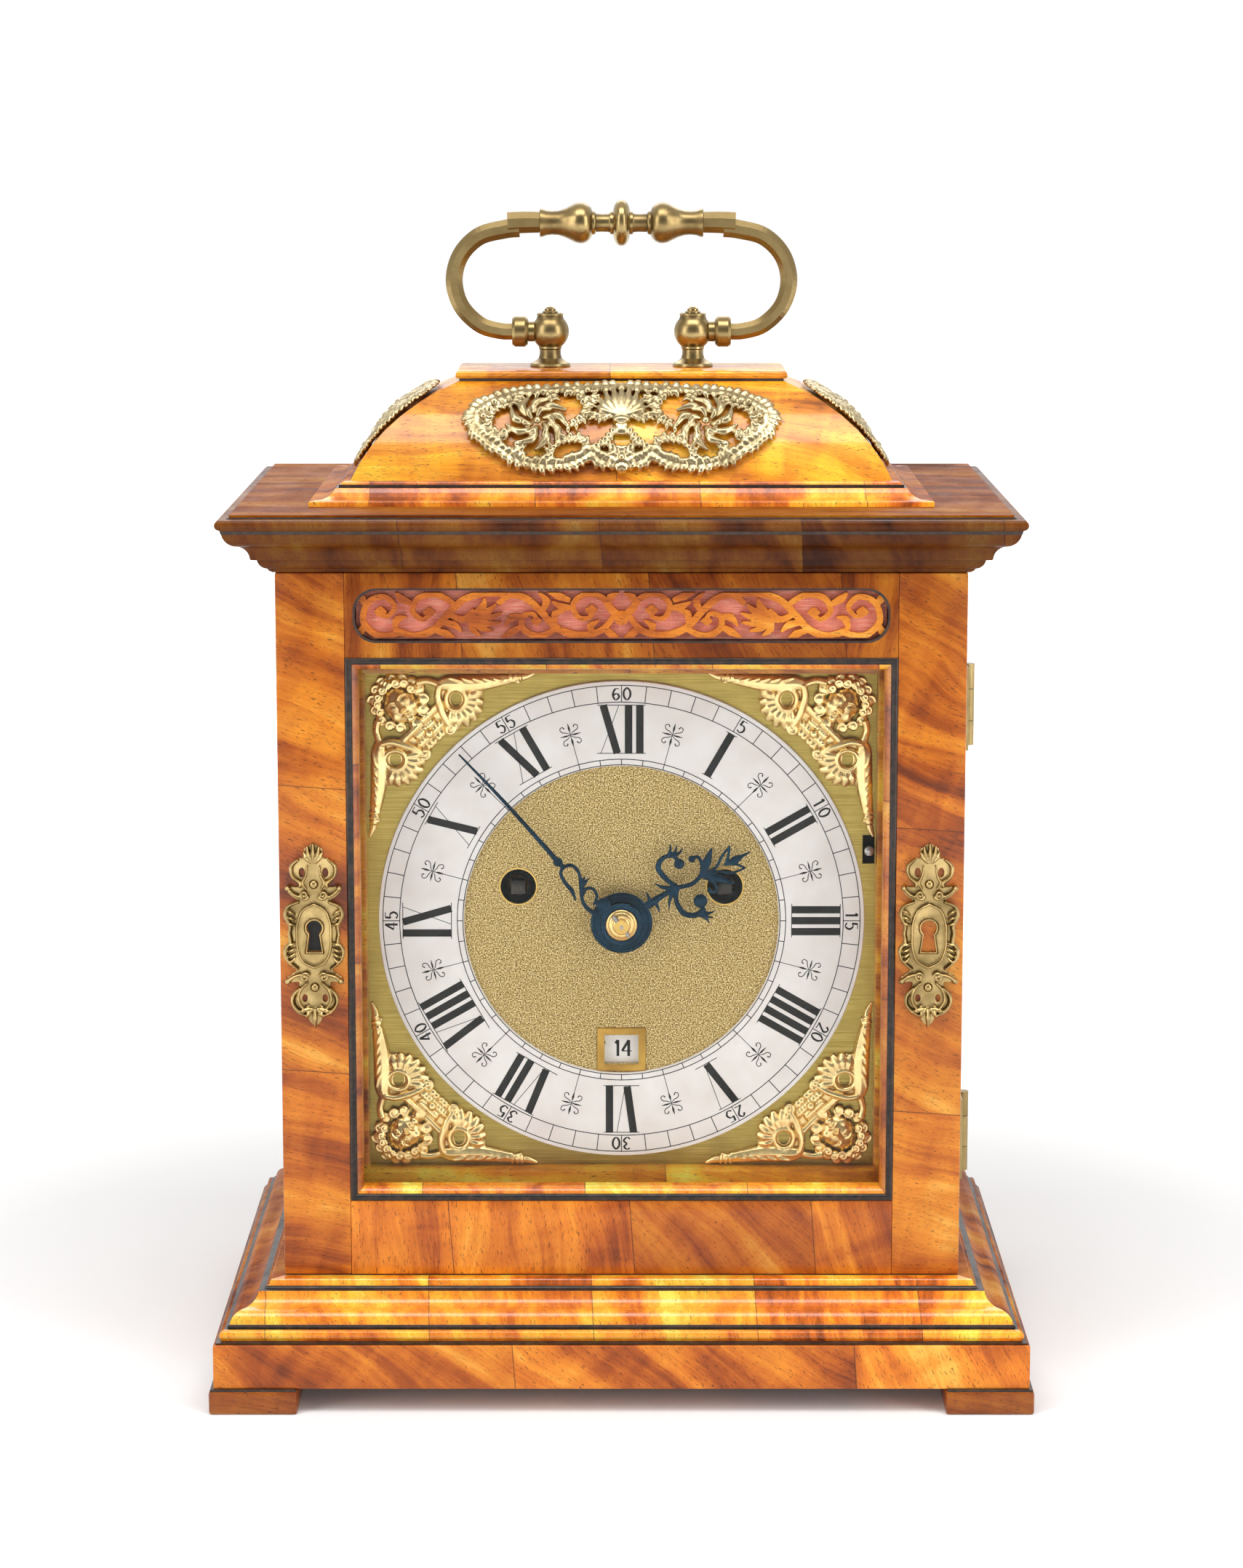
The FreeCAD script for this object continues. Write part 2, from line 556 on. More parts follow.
# Levels and planes that several pieces share.
x_case = size.case_width / 2
x_inside = x_case - size.side_thick
y_case = size.case_depth / 2
y_closed = y_case + size.door_gap
y_front = y_closed + size.door_thick
z_mould = size.foot_height + size.plinth_height
z_case = z_mould + size.base_moulding_height
z_top = z_case + size.case_height
z_cornice = z_top + size.cornice_height
z_board = z_cornice + size.top_lip
z_dome = z_board + size.dome_step_height
z_neck = z_dome + size.dome_height
z_plate = z_neck + size.cap_neck
z_cap = z_plate + size.cap_thick
z_pivot = z_cap + size.post_pivot_rise
z_grip = z_pivot + size.bail_rise
z_dial = z_case + size.dial_rise
y_dial = y_case - size.mask_thick
y_dial_back = y_dial - size.dial_thick
y_movement = y_dial_back - size.motion_room
y_train = size.plate_space - (y_movement - size.plate_thick)
z_plates = z_dial + size.plate_above
plate_below = size.plate_height - size.plate_above
front_level = size.plate_space + size.plate_thick
dial_level = front_level + size.motion_room + size.dial_thick


def build_base():
    """Feet, plinth, base moulding and the board that carries the case."""
    out_x = x_case + size.plinth_overhang + size.foot_overhang
    out_y = y_front + size.plinth_overhang + size.foot_overhang
    feet = []
    for sign_x, sign_y in ((1, -1), (1, 1), (-1, -1), (-1, 1)):
        spans = [both(sign, out - size.foot_length, out) for sign, out in ((sign_x, out_x), (sign_y, out_y))]
        steps = [(span[0] + size.foot_step, span[1] - size.foot_step) for span in spans]
        foot = block(spans[0], spans[1], (0, size.foot_height - size.foot_step))
        step = block(steps[0], steps[1], (size.foot_height - size.foot_step, size.foot_height))
        feet.append(fuse(foot, step))
    node(group(*feet), "block_feet")
    plinth = [(-size.plinth_ledge, 0, 0), (size.plinth_overhang, 0, 0),
              (size.plinth_overhang, size.plinth_height, 0), (-size.plinth_ledge, size.plinth_height, 0)]
    node(group(*mitred_lengths(plinth, x_case, y_front, size.foot_height)), "plinth_frame")
    moulding = scaled(BASE_PROFILE_SHARES, size.plinth_overhang, size.base_moulding_height)
    node(group(*mitred_lengths(moulding, x_case, y_front, z_mould)), "base_moulding")
    node(block((-x_case, x_case), (-y_front, y_front), (z_mould, z_case)), "base_board")


def build_carcass():
    """Sides with their windows, the seat board and the mask round the dial."""
    half_width = size.window_width / 2
    z_window = z_case + size.window_rise
    window_z = (z_window, z_window + size.window_height)
    sides, panes = [], []
    for sign in (1, -1):
        side = block(both(sign, x_inside, x_case), (-y_case, y_case), (z_case, z_top))
        opening_x = both(sign, x_inside - size.overrun, x_case + size.overrun)
        side = cut(side, block(opening_x, (-half_width, half_width), window_z))
        if sign < 0:
            deep = size.bolt_throw + size.lock_inset
            y_bolt = y_closed - size.lock_depth / 2
            high = size.bolt_height / 2 + size.fit_gap
            thick = size.bolt_thick / 2 + size.fit_gap
            side = cut(side, block((-(x_inside + deep), -x_inside), (-(y_bolt + thick), -(y_bolt - thick)),
                                   (z_dial - high, z_dial + high)))
        sides.append(side)
        pane_x = both(sign, x_case - size.pane_depth - size.pane_thick, x_case - size.pane_depth)
        panes.append(block(pane_x, (-half_width, half_width), window_z))
    node(group(*sides), "case_sides")
    node(group(*panes), "side_glasses")
    build_seat()
    half = size.mask_opening / 2
    mask_y = (-y_case, -y_dial)
    notch_end = x_inside - size.lock_inset - size.lock_width - size.lock_inset
    notch_z = (z_dial - size.lock_height / 2 - size.lock_inset, z_dial + size.lock_height / 2 + size.lock_inset)
    left = block((-x_inside, -half), mask_y, (z_case, z_top))
    left = cut(left, block((-x_inside - size.overrun, -notch_end),
                           (-y_case - size.overrun, -y_dial + size.overrun), notch_z))
    right = block((half, x_inside), mask_y, (z_case, z_top))
    low = block((-half, half), mask_y, (z_case, z_dial - half))
    high = block((-half, half), mask_y, (z_dial + half, z_top))
    node(group(left, right, low, high), "dial_mask")


def build_seat():
    """The board that the movement stands on, hollowed wherever a barrel or the pendulum bob would reach it."""
    z_seat = z_dial - plate_below
    half_seat = size.seat_depth / 2
    clear = size.seat_clear
    seat = block((-x_inside, x_inside), (-half_seat, half_seat), (z_seat - size.seat_thick, z_seat))
    drums = [rod(size.barrel_radius + clear,
                 (sign * size.barrel_x, y_train - size.barrel_start + clear, z_dial - size.barrel_drop),
                 size.barrel_length + 2 * clear, "forward") for sign in (1, -1)]
    y_bob = y_train + size.plate_thick + size.pendulum_stand_off
    z_bob = z_dial + size.verge_rise - size.pendulum_length
    half_bob = size.bob_thick / 2 + clear
    swing = size.pendulum_length * PENDULUM_SWING_SHARE + size.bob_radius + clear
    path = block((-swing, swing), (y_bob - half_bob, y_bob + half_bob),
                 (z_bob - size.bob_radius - clear, z_bob + size.bob_radius))
    node(cut(seat, path, *drums), "seat_board")


def dome_outline(width, top, height):
    """One section of the dome: flat below, flat on top, with two convex flanks."""
    return [(-width / 2, 0), (width / 2, 0, DOME_BULGE), (top / 2, height), (-top / 2, height, DOME_BULGE)]


def dome_solid(inset):
    """The dome's solid, or the smaller one inside its wall."""
    width = size.dome_width - 2 * inset
    depth = size.dome_depth - 2 * inset
    height = size.dome_height - inset
    along = prism([dome_outline(width, size.dome_top_width - inset, height)], depth, (0, depth / 2, z_dome), "front")
    across = prism([dome_outline(depth, size.dome_top_depth - inset, height)], width, (-width / 2, 0, z_dome), "side")
    common = doc.addObject("Part::Common", "Dome")
    common.Base, common.Tool = along, across
    return common


def mount_rim(half_length, height):
    """The scalloped rim of a dome mount, from its foot upward, and its piercings."""
    rim = []
    for step in range(MOUNT_LOBES * MOUNT_STEPS):
        turn = 2 * math.pi * step / (MOUNT_LOBES * MOUNT_STEPS)
        swell = 1 + MOUNT_LOBE_SHARE * math.cos(MOUNT_LOBES * turn) - MOUNT_LOBE_SHARE
        rim.append((half_length * swell * math.cos(turn), height / 2 * (1 + swell * math.sin(turn))))
    face = face_of(rim)
    holes = []
    for x_share, y_share, radius_share in MOUNT_HOLE_SHARES:
        for sign in (1, -1):
            centre = Vector(sign * x_share * half_length, height / 2 * (1 + y_share), 0)
            holes.append(disc(radius_share * height, centre))
    return face.cut(Part.makeCompound(holes))


def dome_mount(half_base, half_top, half_length):
    """One pierced mount on the dome's front flank, bent to the flank's curve."""
    foot = Vector(0, -float(half_base), float(z_dome))
    head = Vector(0, -float(half_top), float(z_neck))
    chord = head - foot
    radius = chord.Length * (1 + DOME_BULGE * DOME_BULGE) / (4 * DOME_BULGE)
    inward = Vector(0, chord.z, -chord.y).normalize()
    centre = (foot + head) * 0.5 + inward * (radius * (1 - DOME_BULGE ** 2) / (1 + DOME_BULGE ** 2))
    near = radius + float(size.mount_lift)
    far = near + float(size.dome_mount_thick)
    length = 2 * float(half_length)
    start = Vector(-float(half_length), centre.y, centre.z)
    shell = Part.makeCylinder(far, length, start, Vector(1, 0, 0))
    shell = shell.cut(Part.makeCylinder(near, length, start, Vector(1, 0, 0)))
    rim = mount_rim(float(half_length), float(size.dome_mount_height))
    deep = half_base - half_top + 2 * size.overrun
    rim = standing(rim.extrude(Vector(0, 0, float(deep))), (0, size.overrun - half_top, z_dome + size.mount_foot))
    return shell.common(rim)


def build_top():
    """Cornice, top board, dome with its step, cap and pierced mounts."""
    cornice = scaled(CORNICE_PROFILE_SHARES, size.cornice_overhang, size.cornice_height)
    node(group(*mitred_lengths(cornice, x_case, y_front, z_top)), "cornice_moulding")
    lip_x = x_case + size.top_lip_overhang
    lip_y = y_front + size.top_lip_overhang
    core = block((-x_case, x_case), (-y_front, y_front), (z_top, z_cornice))
    lip = block((-lip_x, lip_x), (-lip_y, lip_y), (z_cornice, z_board))
    node(fuse(core, lip), "top_board")
    step = scaled(STEP_PROFILE_SHARES, size.dome_step_overhang, size.dome_step_height)
    node(group(*mitred_lengths(step, size.dome_width / 2, size.dome_depth / 2, z_board)), "dome_step_moulding")
    node(cut(dome_solid(0), dome_solid(size.dome_wall)), "dome_shell")
    half_x, half_y = size.dome_top_width / 2 + size.cap_overhang, size.dome_top_depth / 2 + size.cap_overhang
    neck_x, neck_y = half_x - 2 * size.cap_overhang, half_y - 2 * size.cap_overhang
    flat = half_y - size.cap_round
    edge = size.cap_thick - size.cap_round
    section = [(-half_y, 0), (half_y, 0), (half_y, edge, QUARTER_BULGE), (flat, size.cap_thick),
               (-flat, size.cap_thick, QUARTER_BULGE), (-half_y, edge)]
    plate = prism([section], 2 * half_x, (-half_x, 0, z_plate), "side")
    neck = block((-neck_x, neck_x), (-neck_y, neck_y), (z_neck, z_plate))
    bores = [rod(size.post_shank + size.running_gap, (sign * size.post_spread / 2, 0, z_cap - size.post_shank_length),
                 size.post_shank_length + size.overrun) for sign in (1, -1)]
    node(cut(fuse(neck, plate), *bores), "dome_cap")
    front = dome_mount(size.dome_depth / 2, size.dome_top_depth / 2, size.dome_mount_length / 2)
    node(feature(Part.makeCompound([front, front.mirror(Vector(), Vector(0, 1, 0))])), "dome_mounts_long")
    side = dome_mount(size.dome_width / 2, size.dome_top_width / 2, size.side_mount_length / 2)
    side.rotate(Vector(), Vector(0, 0, 1), 90)
    node(feature(Part.makeCompound([side, side.mirror(Vector(), Vector(1, 0, 0))])), "dome_mounts_short")


def octagon(across, chamfer, x=0, y=0):
    """A square with its corners taken off, about a point."""
    x, y = Size.of(x), Size.of(y)
    half = across / 2
    flat = half - chamfer
    return [(x - flat, y - half), (x + flat, y - half), (x + half, y - flat), (x + half, y + flat),
            (x + flat, y + half), (x - flat, y + half), (x - half, y + flat), (x - half, y - flat)]


def build_handle():
    """Turned posts with their pivots, and the swinging bail."""
    ball = size.post_radius * POST_BALL_SHARE
    collar_start = size.post_spread / 2 + ball + size.collar_gap
    pin_start = collar_start - size.bail_pin_length
    posts = []
    for sign in (1, -1):
        where = (sign * size.post_spread / 2, 0, z_cap)
        post = turned(scaled(POST_SHARES, size.post_radius, size.post_height), where, "up_seam_back")
        shank = rod(size.post_shank, (where[0], 0, z_cap - size.post_shank_length), size.post_shank_length)
        bore_x = both(sign, pin_start - size.collar_gap, collar_start + size.overrun)
        bore = rod(size.bail_pin + size.running_gap, (bore_x[0], 0, z_pivot), bore_x[1] - bore_x[0], "right")
        posts.append(cut(fuse(post, shank), bore))
    node(group(*posts), "handle_posts")
    radius = size.bail_rise / 2
    x_arm = size.bail_span / 2 - radius
    grip = turned(scaled(GRIP_SHARES, size.grip_radius, size.grip_length), (0, 0, z_grip), "right")
    x_shoulder = size.grip_length / 2
    shoulder = prism([octagon(size.shoulder_size, size.shoulder_chamfer)],
                     (x_arm - x_shoulder) * SHOULDER_SHARE, (x_shoulder, 0, z_grip), "side")
    upper = prism([octagon(size.bail_thick, size.bail_chamfer)], x_arm - x_shoulder, (x_shoulder, 0, z_grip), "side")
    section = doc.addObject("Sketcher::SketchObject", "ArmSection")
    draw_loop(section, octagon(size.bail_thick, size.bail_chamfer, radius, 0))
    arm = doc.addObject("Part::Revolution", "Arm")
    arm.Source, arm.Axis, arm.Angle, arm.Symmetric, arm.Solid = section, Vector(0, 1, 0), 180, True, True
    place(arm, (x_arm, 0, z_pivot + radius))
    x_collar = collar_start + size.collar_length
    lower = prism([octagon(size.bail_thick, size.bail_chamfer)], x_arm - x_collar, (x_collar, 0, z_pivot), "side")
    collar = turned(scaled(COLLAR_SHARES, size.collar_radius, size.collar_length), (collar_start, 0, z_pivot), "right")
    pin = rod(size.bail_pin, (pin_start, 0, z_pivot), size.bail_pin_length, "right")
    half = fuse(grip, shoulder, upper, arm, lower, collar, pin)
    node(fuse(half, mirror(half, (1, 0, 0))), "handle_bail")


def hinge(sign, z_low):
    """One hinge: the leaf on the case with its pin, and the leaf on the door. The back one is turned about Z."""
    x_axis = x_case + size.hinge_stand_off + size.hinge_knuckle
    y_axis = y_case + size.door_gap / 2
    clear = size.hinge_knuckle + size.fit_gap
    levels = [z_low, z_low + size.hinge_height * HINGE_SPLIT_SHARE,
              z_low + size.hinge_height * (1 - HINGE_SPLIT_SHARE), z_low + size.hinge_height]
    plate_x = both(sign, x_case, x_case + size.hinge_leaf_thick)
    tab_x = both(sign, x_case + size.hinge_stand_off, x_case + size.hinge_leaf_thick)
    centre = (sign * x_axis, -sign * y_axis)
    case_parts = [block(plate_x, both(-sign, y_axis - size.hinge_leaf, y_axis - clear), (levels[0], levels[3]))]
    for low, high in ((levels[0], levels[1]), (levels[2], levels[3])):
        case_parts.append(block(tab_x, both(-sign, y_axis - clear, y_axis), (low, high)))
        case_parts.append(rod(size.hinge_knuckle, centre + (low,), high - low))
    case_parts.append(rod(size.hinge_pin, centre + (levels[0],), size.hinge_height))
    low, high = levels[1] + size.fit_gap, levels[2] - size.fit_gap
    door_parts = [block(plate_x, both(-sign, y_axis + clear, y_axis + size.hinge_leaf), (levels[0], levels[3])),
                  block(tab_x, both(-sign, y_axis, y_axis + clear), (low, high)),
                  rod(size.hinge_knuckle, centre + (low,), high - low)]
    bore = rod(size.hinge_pin + size.running_gap, centre + (levels[0],), size.hinge_height)
    return fuse(*case_parts), cut(fuse(*door_parts), bore)


def build_hinges():
    """Two hinges for each door."""
    z_low = z_case + size.hinge_end_rise
    z_high = z_top - size.hinge_end_rise - size.hinge_height
    pairs = {sign: [hinge(sign, level) for level in (z_low, z_high)] for sign in (1, -1)}
    node(group(*(pair[0] for sign in (1, -1) for pair in pairs[sign])), "hinge_case_leaves")
    node(group(*(pair[1] for pair in pairs[1])), "front_hinge_leaves")
    node(group(*(pair[1] for pair in pairs[-1])), "back_hinge_leaves")


def fret_shape():
    """The pierced fret: a rim and a running scroll with leaves, drawn in the front view."""
    length = float(size.fret_length - 2 * size.fit_gap)
    height = float(size.fret_height - 2 * size.fit_gap)
    rim, rib = float(size.fret_rim), float(size.fret_rib)
    straight = (length - height) / 2

    def slot(inset):
        radius = height / 2 - inset
        bar = face_of([(-straight, -radius), (straight, -radius), (straight, radius), (-straight, radius)])
        ends = [disc(radius, Vector(sign * straight, 0, 0)) for sign in (1, -1)]
        return bar.multiFuse(ends).removeSplitter()

    pieces = [slot(0).cut(slot(rim))]
    pitch = 2 * straight / FRET_WAVES
    outer = pitch / 2 + rib / 2
    for wave in range(FRET_WAVES):
        centre = Vector(-straight + (wave + 0.5) * pitch, 0, 0)
        ring = disc(outer, centre)
        ring = ring.cut(disc(outer - rib, centre))
        side = 1 if wave % 2 else -1
        keep = face_of([(centre.x - outer, 0), (centre.x + outer, 0), (centre.x + outer, side * outer),
                        (centre.x - outer, side * outer)])
        pieces.append(ring.common(keep))
        pieces.append(disc(rib, Vector(centre.x, side * outer * FRET_CURL_SHARE, 0)))
        edge = side * (height - rim) / 2
        for foot, head in (((centre.x, 0), (centre.x, edge)), ((centre.x - pitch / 2, 0), (centre.x, -edge))):
            pieces.append(face_of([foot, (foot[0] + rib, foot[1]), (head[0] + rib, head[1]), head]))
    ends = [(-straight - height / 2 + rim / 2, -rib / 2), (straight + height / 2 - rim / 2, -rib / 2),
            (straight + height / 2 - rim / 2, rib / 2), (-straight - height / 2 + rim / 2, rib / 2)]
    pieces.append(face_of(ends))
    return joined(*(piece.extrude(Vector(0, 0, float(size.fret_thick))) for piece in pieces))


def escutcheon_shape():
    """One pierced keyhole plate, drawn in the front view about the keyhole."""
    half_width, half_height = float(size.escutcheon_width) / 2, float(size.escutcheon_height) / 2
    right = [(x * half_width, y * half_height) for x, y in ESCUTCHEON_SHARES]
    left = [(-x, y) for x, y in right[1:-1]][::-1]
    plate = face_of((right + left)[::-1])
    radius = float(size.keyhole_radius)
    hole = disc(radius)
    slot = radius * KEYHOLE_SLOT_SHARE
    drop = float(size.keyhole_length) - radius
    plate = plate.cut(hole).cut(face_of([(-slot, -drop), (slot, -drop), (slot, 0), (-slot, 0)]))
    return plate.extrude(Vector(0, 0, float(size.escutcheon_thick)))


def build_front_door():
    """Stiles, rails, glazing bead, glass, fret, keyhole plates and lock."""
    half_gap = x_case - size.stile_width
    low, high = z_case + size.door_gap, z_top - size.door_gap
    z_sill, z_head = low + size.bottom_rail, high - size.top_rail
    door_y = (-y_front, -y_closed)
    x_key = x_case - size.escutcheon_inset
    left = block((-x_case, -half_gap), door_y, (low, high))
    left = cut(left, rod(size.keyhole_radius, (-x_key, -y_closed + size.overrun, z_dial),
                         size.door_thick + 2 * size.overrun, "forward"))
    right = block((half_gap, x_case), door_y, (low, high))
    node(group(left, right), "door_stiles")
    node(block((-half_gap, half_gap), door_y, (low, z_sill)), "door_bottom_rail")
    slot = rounded_slot(size.fret_length, size.fret_height)
    rail = rectangle(half_gap, size.top_rail / 2)
    z_rail = z_head + size.top_rail / 2
    node(prism([rail, slot], size.door_thick, (0, -y_closed, z_rail), "front"), "door_top_rail")
    half_high = (z_head - z_sill) / 2
    z_middle = z_sill + half_high
    y_glass = y_front + size.bead_proud - size.bead_depth
    bead = group(*mitred_lengths(scaled(BEAD_PROFILE_SHARES, size.bead_width, size.bead_depth), half_gap, half_high,
                                 Size.of(0)))
    node(place(bead, (0, -y_glass, z_middle), "front"), "door_bead")
    glass_x = half_gap - size.fit_gap
    node(block((-glass_x, glass_x), (-y_glass, -y_glass + size.pane_thick),
               (z_sill + size.fit_gap, z_head - size.fit_gap)), "door_glass")
    y_fret = y_front - size.fret_recess - size.fret_thick
    node(feature(standing(fret_shape(), (0, -y_fret, z_rail))), "door_fret")
    silk = rounded_slot(size.fret_length - 2 * size.fit_gap, size.fret_height - 2 * size.fit_gap)
    node(prism([silk], size.silk_thick, (0, -y_fret + size.silk_thick, z_rail), "front"), "fret_silk")
    plates = [standing(escutcheon_shape(), (sign * x_key, -y_front, z_dial)) for sign in (-1, 1)]
    node(feature(Part.makeCompound(plates)), "escutcheons")
    lock_out = x_inside - size.lock_inset
    lock_x = (-lock_out, -lock_out + size.lock_width)
    half_lock = size.lock_height / 2
    lock = block(lock_x, (-y_closed, -y_closed + size.lock_depth), (z_dial - half_lock, z_dial + half_lock))
    y_bolt = y_closed - size.lock_depth / 2
    thick, tall = size.bolt_thick / 2, size.bolt_height / 2
    way = block((lock_x[0] - size.overrun, lock_x[1] - size.lock_wall),
                (-y_bolt - thick - size.running_gap, -y_bolt + thick + size.running_gap),
                (z_dial - tall - size.running_gap, z_dial + tall + size.running_gap))
    node(cut(lock, way), "door_lock")
    node(block((lock_x[0], lock_x[1] - size.lock_wall - size.fit_gap), (-y_bolt - thick, -y_bolt + thick),
               (z_dial - tall, z_dial + tall)), "lock_bolt")


def build_back_door():
    """The glazed door at the back."""
    half_gap = x_case - size.back_stile
    low, high = z_case + size.door_gap, z_top - size.door_gap
    z_sill, z_head = low + size.back_rail, high - size.back_rail
    door_y = (y_closed, y_front)
    node(group(block((-x_case, -half_gap), door_y, (low, high)), block((half_gap, x_case), door_y, (low, high)),
               block((-half_gap, half_gap), door_y, (low, z_sill)), block((-half_gap, half_gap), door_y, (z_head, high))),
         "back_door_frame")
    y_pane = y_front - size.pane_depth
    node(block((-half_gap, half_gap), (y_pane - size.pane_thick, y_pane), (z_sill, z_head)), "back_door_glass")


def corner_mount():
    """One winged head for the upper right corner, drawn in the front view with the corner at the origin."""
    arm = float(size.corner_mount_arm)
    thick = float(size.corner_mount_thick)
    wing = [(-along * arm, -across * arm) for along, across in WING_SHARES]
    other = [(y, x) for x, y in wing][::-1]
    chest = [(-x * arm, -y * arm) for x, y in CHEST_SHARES]
    faces = [face_of(outline) for outline in (wing, other, chest)]
    plate = faces[0].multiFuse(faces[1:]).removeSplitter().extrude(Vector(0, 0, thick))
    radius = float(size.corner_head)
    sunk = radius * HEAD_SINK_SHARE
    head = Part.makeSphere(radius, Vector(-HEAD_SHARE * arm, -HEAD_SHARE * arm, thick - sunk))
    above = Part.makeBox(arm, arm, 2 * radius, Vector(-arm, -arm, 0))
    return joined(plate, head.common(above))


def build_dial():
    """Dial plate, chapter ring, corner mounts, date ring and the strike lever."""
    half = size.dial_side / 2
    date = rectangle(size.date_window_width / 2, size.date_window_height / 2, 0, -size.date_drop)
    slot = rectangle(size.slot_width / 2, size.slot_height / 2, size.slot_x, size.slot_rise)
    holes = [(0, 0, size.dial_hole), (size.winding_x, size.winding_rise, size.winding_hole),
             (-size.winding_x, size.winding_rise, size.winding_hole)]
    plate = prism([rectangle(half, half), date, slot], size.dial_thick, (0, -y_dial_back, z_dial), "front", holes)
    upper, lower = nearer(size.plate_above, half), nearer(plate_below, half)
    foot_levels = (z_dial + upper - size.dial_foot_inset, z_dial - lower + size.dial_foot_inset)
    feet = [rod(size.dial_foot, (sign * size.dial_foot_x, -y_movement, level), size.motion_room, "forward")
            for sign in (1, -1) for level in foot_levels]
    node(fuse(plate, *feet), "dial_plate")
    node(prism([], size.ring_thick, (0, -y_dial, z_dial), "front",
               [(0, 0, size.ring_outer), (0, 0, size.ring_inner)]), "chapter_ring")
    reach = size.mask_opening / 2 - size.corner_mount_inset
    mounts = []
    for sign_x, sign_z in ((1, 1), (-1, 1), (1, -1), (-1, -1)):
        mount = corner_mount()
        if sign_x < 0:
            mount = mount.mirror(Vector(), Vector(1, 0, 0))
        if sign_z < 0:
            mount = mount.mirror(Vector(), Vector(0, 1, 0))
        mounts.append(standing(mount, (sign_x * reach, -y_dial, z_dial + sign_z * reach)))
    node(feature(Part.makeCompound(mounts)), "corner_mounts")
    y_date = y_dial_back - size.date_gap
    node(prism([], size.date_ring_thick, (0, -y_date + size.date_ring_thick, z_dial), "front",
               [(0, 0, size.date_ring_outer), (0, 0, size.date_ring_inner)]), "date_ring")
    half_width, half_length = size.lever_width / 2, size.lever_length / 2
    z_lever = z_dial + size.slot_rise
    strip = block((size.slot_x - half_width, size.slot_x + half_width), (-y_date, -y_date + size.lever_thick),
                  (z_lever - half_length, z_lever + half_length))
    pin = rod(size.lever_pin, (size.slot_x, -y_date, z_lever), size.lever_pin_length, "forward")
    node(fuse(strip, pin), "strike_silent_lever")


def hand_outline(shares, length, hub):
    """A hand's outline along the local X axis, from shares of its length and hub."""
    upper = [(along * float(length), across * float(hub)) for along, across in shares]
    lower = [(x, -y) for x, y in upper if y][::-1]
    return face_of((upper + lower)[::-1])


def build_hands():
    """Hour hand, minute hand and the collet that holds them."""
    hour_level = dial_level + size.hour_hand_lift
    minute_level = hour_level + size.hand_thick + size.hand_gap
    for label, shares, length, hub, bore, level, angle in (
            ("hour_hand", HOUR_HAND_SHARES, size.hour_hand_length, size.hour_hub, size.hour_pipe, hour_level, HOUR_ANGLE),
            ("minute_hand", MINUTE_HAND_SHARES, size.minute_hand_length, size.minute_hub, size.hand_square, minute_level,
             MINUTE_ANGLE)):
        flat = hand_outline(shares, length, hub).fuse(disc(hub))
        flat = flat.removeSplitter().cut(disc(bore))
        hand = moved(flat.extrude(Vector(0, 0, float(size.hand_thick))), z=level)
        hand.rotate(Vector(), Vector(0, 0, 1), 90 - angle)
        node(feature(standing(hand, (0, y_train, z_dial))), label)
    level = minute_level + size.hand_thick
    tip = level + size.collet_thick
    square = float(size.hand_square)
    dome = lathe([(square, level), (size.collet_radius, level), (size.collet_radius * COLLET_SHARE, tip), (square, tip)])
    node(feature(standing(joined(dome, taper_pin(tip, 0)), (0, y_train, z_dial))), "hand_collet")
    return tip


def taper_pin(tip, gap):
    """The pin through the end of the centre arbor, or the hole for it."""
    radius = float(size.taper_pin) + gap
    length = float(size.taper_pin_length)
    start = Vector(-length / 2, 0, float(tip + size.taper_pin - size.taper_pin_sink))
    return Part.makeCylinder(radius, length, start, Vector(1, 0, 0))


def arbor_holes(front):
    """Pivot holes of a plate: (x, height above the dial centre, radius)."""
    gap = size.running_gap
    pivot = size.pivot + gap
    winding = size.arbor + gap if front else pivot
    holes = [(0, 0, pivot), (0, size.contrate_rise, pivot)]
    holes += [(sign * size.winding_x, size.winding_rise, winding) for sign in (1, -1)]
    holes += [(sign * size.barrel_x, -size.barrel_drop, pivot) for sign in (1, -1)]
    holes += [(-size.pin_wheel_x, size.pin_wheel_rise, pivot), (-size.hammer_x, size.hammer_rise, pivot)]
    if front:
        holes += [(0, size.verge_rise, size.verge + gap), (0, -size.minute_wheel_drop, pivot)]
    else:
        holes += [(0, size.verge_rise, size.verge_hole)]
    return holes


